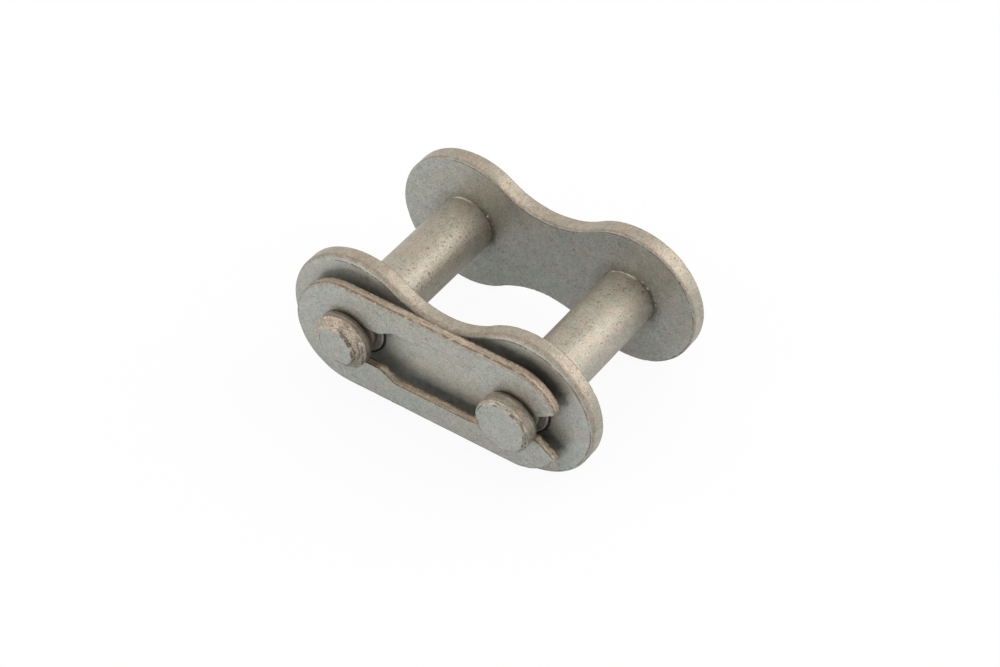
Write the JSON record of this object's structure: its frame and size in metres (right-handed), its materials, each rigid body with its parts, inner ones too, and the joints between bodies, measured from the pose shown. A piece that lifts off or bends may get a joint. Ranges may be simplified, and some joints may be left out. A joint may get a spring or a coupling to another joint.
{
  "type": "chain connecting link",
  "caption": "Detachable roller-chain connecting link: waisted back plate with riveted grooved pins, slip-on cover plate and a spring clip that snaps into the pin grooves.",
  "frame": {"origin": "on the left pin's axis, midway between the two plates", "axes": "+X towards the right pin, along the plates; +Y along the pins towards the riveted back plate; +Z across the plates"},
  "size_m": [0.0291, 0.0208, 0.0132],
  "materials": {
    "plate_steel": "matt tumbled grey steel with fine dark speckle",
    "pin_steel": "matt warm grey ground steel, slightly smoother than the plates",
    "clip_steel": "matt grey spring steel, punched edges slightly brown"
  },
  "bodies": {
    "link": {"back_plate": "plate_steel", "left_pin": "pin_steel", "right_pin": "pin_steel"},
    "cover": {"cover_plate": "plate_steel"},
    "clip": {"spring_clip": "clip_steel"}
  },
  "joints": [
    {"name": "cover_slide", "type": "slide", "parent": "link", "child": "cover", "axis": [0, -1, 0], "range_m": [0, 0.0165]},
    {"name": "clip_slide", "type": "slide", "parent": "cover", "child": "clip", "axis": [-1, 0, 0], "range_m": [0, 0.0074], "deforming": ["spring_clip"]}
  ]
}
